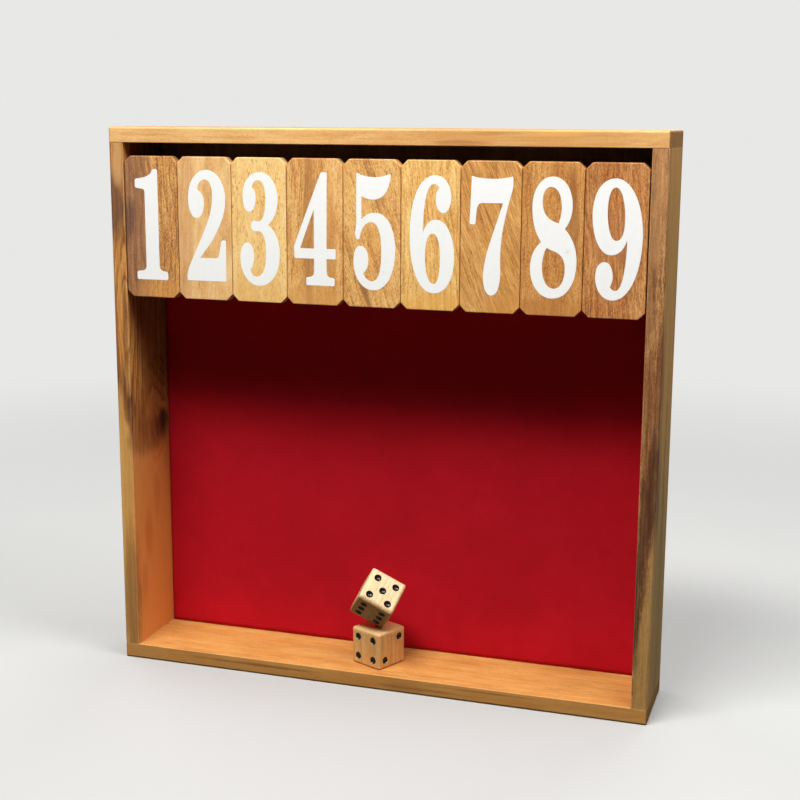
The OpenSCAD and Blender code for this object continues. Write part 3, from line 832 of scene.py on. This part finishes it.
def red_felt():
    """Pressed wool: matted hair, lint that lies either way, and a faint unevenness in its dye."""
    g = Graph("red_felt")
    p = g.place()
    hair = g.noise(p, scale=2.6, detail=4, rough=0.75, distort=1.6)
    lint = g.noise(p, (2.4, 1, 0.35), scale=1.5, detail=2, distort=0.8)
    lint_across = g.noise(g.vector("ADD", p, (40, 3, 9)), (0.4, 1, 2.2), scale=1.5, detail=2, distort=0.8)
    cloud = g.noise(p, scale=0.02, detail=3)
    blotch = g.noise(p, scale=0.13, detail=2)
    tone = g.sway(hair, 0.9, 0.5)
    tone = g.sway(blotch, 0.18, tone)
    tone = g.sway(g.math("MAXIMUM", lint, lint_across), 0.5, tone, 0.55)
    tone = g.sway(cloud, 0.5, tone)
    colour = g.ramp(tone, [(0.1, rgb(152, 4, 18)), (0.5, rgb(188, 8, 28)), (0.95, rgb(212, 24, 44))])
    g.set(Base_Color=colour, Roughness=0.95)
    g.shader.inputs["Sheen Weight"].default_value = 0.08
    g.shader.inputs["Sheen Roughness"].default_value = 0.5
    g.shader.inputs["Sheen Tint"].default_value = rgb(255, 60, 70)
    g.shader.inputs["Specular IOR Level"].default_value = 0.2
    g.bump(tone, 0.5, 0.25 * MM)
    return g.material


def felt_sheet():
    """The lining as one laid sheet with a faint lumpiness and softly cut edges."""
    lo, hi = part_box("felt_lining")
    nx = round((hi.x - lo.x) / MM / FELT_CELL)
    nz = round((hi.z - lo.z) / MM / FELT_CELL)
    verts = felt_points(lo, hi, nx, nz, shows=True) + felt_points(lo, hi, nx, nz, shows=False)
    mesh = bpy.data.meshes.new("felt_sheet")
    mesh.from_pydata(verts, [], felt_faces(nx, nz))
    mesh.update()
    piece = link("felt_sheet", mesh, "case", red_felt())
    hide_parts("felt_lining")


felt_sheet()


# ---------------------------------------------------------------- back, rod, brads

PLY_THICK = 1.333  # one ply of three in the 4 mm panel
PLY_SHIFT = 10.0   # whole plies and a half, so that the panel's middle is the middle of a ply


def plywood():
    """Rotary-cut birch faces with long open figure; glue lines and crossed plies on the edges."""
    g = Graph("birch_plywood")
    p = g.place(middle("back_panel"))
    u, v, w = g.split(p)
    swing = g.noise(p, (0.02, 0.05, 0.012), detail=3)
    swung = g.combine(g.math("MULTIPLY_ADD", swing, 60, u), v, w)
    figure = g.noise(swung, (0.11, 0.3, 0.012), detail=4, rough=0.6)
    fibre = g.noise(p, (2.6, 2.6, 0.07), detail=3, rough=0.6)
    tone = g.sway(fibre, 0.5, figure)
    face = g.ramp(tone, [(0.25, rgb(176, 134, 88)), (0.5, rgb(208, 170, 122)), (0.75, rgb(224, 192, 148))])
    fleck = g.span(g.noise(p, (3.0, 1, 0.5), detail=1), 0.7, 0.76)
    face = g.mix(g.product(fleck, 0.35), face, rgb(126, 84, 48))
    ply = g.math("FRACT", g.math("DIVIDE", g.math("ADD", v, PLY_SHIFT), PLY_THICK))
    glue = rgb(96, 60, 34)
    layers = g.ramp(ply, [(0.0, glue), (0.1, rgb(206, 168, 120)), (0.9, rgb(186, 144, 96)), (1.0, glue)])
    facing = g.math("ABSOLUTE", g.facing(Y))
    g.set(Base_Color=g.mix(g.span(facing, 0.5, 0.8), layers, face),
          Roughness=g.span(fibre, 0.3, 0.7, 0.72, 0.6))
    g.bump(fibre, 0.3, 0.12 * MM)
    return g.material


def steel(name, tint, rough):
    """Drawn steel with smudges, and fine lines along the X axis."""
    g = Graph(name)
    p = g.place()
    smudge = g.noise(p, scale=0.8, detail=4, rough=0.6)
    line = g.noise(p, (0.2, 6, 6), detail=2)
    tone = g.sway(line, 0.6, smudge)
    darker = tuple(0.72 * c for c in tint)
    g.set(Base_Color=g.ramp(tone, [(0.3, rgb(*darker)), (0.7, rgb(*tint))]), Metallic=1.0,
          Roughness=g.span(smudge, 0.3, 0.7, rough - 0.08, rough + 0.12))
    g.bump(line, 0.1, 0.02 * MM)
    return g.material


dress("back_panel", plywood())
dress("hinge_rod", steel("rod_steel", (126, 122, 116), 0.42))
brads = steel("brad_steel", (168, 164, 158), 0.38)
dress("corner_brads", brads)
dress("panel_brads", brads)


# ---------------------------------------------------------------- stage, light, camera

# The floor in metres: flat out to FLAT_R, then a quarter round up to the wall.
INNER_R = 0.4
FLAT_R = 1.7
WALL_R = 2.7
WALL_H = 2.6
FLOOR_SIDES = 96
BEND_STEPS = 16
# where the seen floor starts to fade into the plain background and where it is all plain, in millimetres
FADE_FROM = 330.0
FADE_TO = 1000.0


def pale_floor():
    """What the camera sees is paler than what lights the object, and fades into an even background."""
    g = Graph("pale_floor")
    p = g.place()
    tint = g.noise(p, scale=0.002, detail=2)
    seen = g.ramp(tint, [(0.3, rgb(175, 175, 174)), (0.7, rgb(179, 179, 178))])
    ray = g.add("ShaderNodeLightPath").outputs["Is Camera Ray"]
    far = g.vector("LENGTH", g.vector("MULTIPLY", p, (1, 1, 0.6)))
    plain = g.product(g.span(far, FADE_FROM, FADE_TO), ray)
    g.set(Base_Color=g.mix(plain, g.mix(ray, rgb(82, 86, 84), seen), (0, 0, 0, 1)), Roughness=0.9)
    g.set(Emission_Color=rgb(232, 232, 231), Emission_Strength=plain)
    g.shader.inputs["Specular IOR Level"].default_value = 0.0
    return g.material


def stage():
    """A pale floor that sweeps up into a wall all round."""
    bend = WALL_R - FLAT_R
    angles = [math.pi / 2 * k / BEND_STEPS for k in range(1, BEND_STEPS + 1)]
    profile = [(INNER_R, 0.0), (FLAT_R, 0.0)]
    profile += [(FLAT_R + bend * math.sin(a), bend - bend * math.cos(a)) for a in angles]
    profile.append((WALL_R, WALL_H))
    turns = [2 * math.pi * s / FLOOR_SIDES for s in range(FLOOR_SIDES)]
    verts = [(0, 0, 0)]
    for r, z in profile:
        verts += [(r * math.cos(a), r * math.sin(a), z) for a in turns]
    faces = []
    for s in range(FLOOR_SIDES):
        n = (s + 1) % FLOOR_SIDES
        faces.append((0, 1 + s, 1 + n))
        for k in range(len(profile) - 1):
            i = 1 + k * FLOOR_SIDES
            j = i + FLOOR_SIDES
            faces.append((i + s, j + s, j + n, i + n))
    mesh = bpy.data.meshes.new("floor")
    mesh.from_pydata(verts, [], faces)
    mesh.shade_smooth()
    mesh.materials.append(pale_floor())
    floor = bpy.data.objects.new("floor", mesh)
    bpy.context.scene.collection.objects.link(floor)


stage()

CENTRE = Vector((0, 0, 0.145))  # what the lamps aim at


def lamp(name, azimuth, elevation, distance, size, watts, colour=(1, 1, 1)):
    """A rectangular softbox that the camera doesn't see. Azimuth 0 is in front, and positive to the right."""
    light = bpy.data.lights.new(name, "AREA")
    light.shape = "RECTANGLE"
    light.size, light.size_y = size
    light.energy = watts
    light.color = colour
    holder = bpy.data.objects.new(name, light)
    bpy.context.scene.collection.objects.link(holder)
    a, e = math.radians(azimuth), math.radians(elevation)
    way = Vector((math.sin(a) * math.cos(e), -math.cos(a) * math.cos(e), math.sin(e)))
    holder.location = CENTRE + way * distance
    holder.rotation_mode = "QUATERNION"
    holder.rotation_quaternion = way.to_track_quat("Z", "Y")
    holder.visible_camera = False


lamp("key", -20, 60.5, 1.4, (0.7, 0.3), 22.2, (1.0, 0.99, 0.97))
lamp("near", 0, 65, 0.55, (0.5, 0.3), 0.95)
lamp("right_fill", 75, 55, 0.8, (0.4, 0.4), 5.2)
lamp("left_fill", -115, 40, 1.4, (0.9, 0.9), 7.0)
lamp("back_fill", 170, 40, 1.4, (0.9, 0.9), 9.0)

WORLD_LIGHT = 0.17  # the world's strength on the object
WORLD_SEEN = 0.85   # and to the camera


def studio():
    """An even world that is brighter to the camera than on the object."""
    world = bpy.data.worlds.new("studio")
    world.use_nodes = True
    tree = world.node_tree
    tree.nodes.clear()
    back = tree.nodes.new("ShaderNodeBackground")
    back.inputs["Color"].default_value = rgb(240, 243, 246)
    seen = tree.nodes.new("ShaderNodeLightPath")
    level = tree.nodes.new("ShaderNodeMapRange")
    level.inputs["To Min"].default_value = WORLD_LIGHT
    level.inputs["To Max"].default_value = WORLD_SEEN
    tree.links.new(seen.outputs["Is Camera Ray"], level.inputs["Value"])
    tree.links.new(level.outputs[0], back.inputs["Strength"])
    out = tree.nodes.new("ShaderNodeOutputWorld")
    tree.links.new(back.outputs[0], out.inputs[0])
    bpy.context.scene.world = world
    bpy.context.scene.view_settings.view_transform = "Standard"


studio()

# The camera in metres and degrees, and its lens in millimetres, fitted to the photograph's view of the case.
CAMERA_AT = (0.230435, -0.686463, 0.295481)
YAW, PITCH, ROLL = (math.radians(a) for a in (17.9815, 11.2609, 0.28504))
SENSOR = 36.0
LENS = 63.52


def photograph_camera():
    """Looks along +Y, turned left by YAW, tipped down by PITCH and rolled counterclockwise by ROLL."""
    lens = bpy.data.cameras.new("camera")
    lens.sensor_width = SENSOR
    lens.lens = LENS
    lens.clip_start = 0.01
    lens.clip_end = 20.0
    camera = bpy.data.objects.new("camera", lens)
    bpy.context.scene.collection.objects.link(camera)
    forward = Vector((-math.sin(YAW) * math.cos(PITCH), math.cos(YAW) * math.cos(PITCH), -math.sin(PITCH)))
    right = Vector((math.cos(YAW), math.sin(YAW), 0))
    up = right.cross(forward)
    side = right * math.cos(ROLL) + up * math.sin(ROLL)
    rise = up * math.cos(ROLL) - right * math.sin(ROLL)
    turn = Matrix((side, rise, -forward)).transposed().to_4x4()
    camera.matrix_world = Matrix.Translation(CAMERA_AT) @ turn
    bpy.context.scene.camera = camera


photograph_camera()
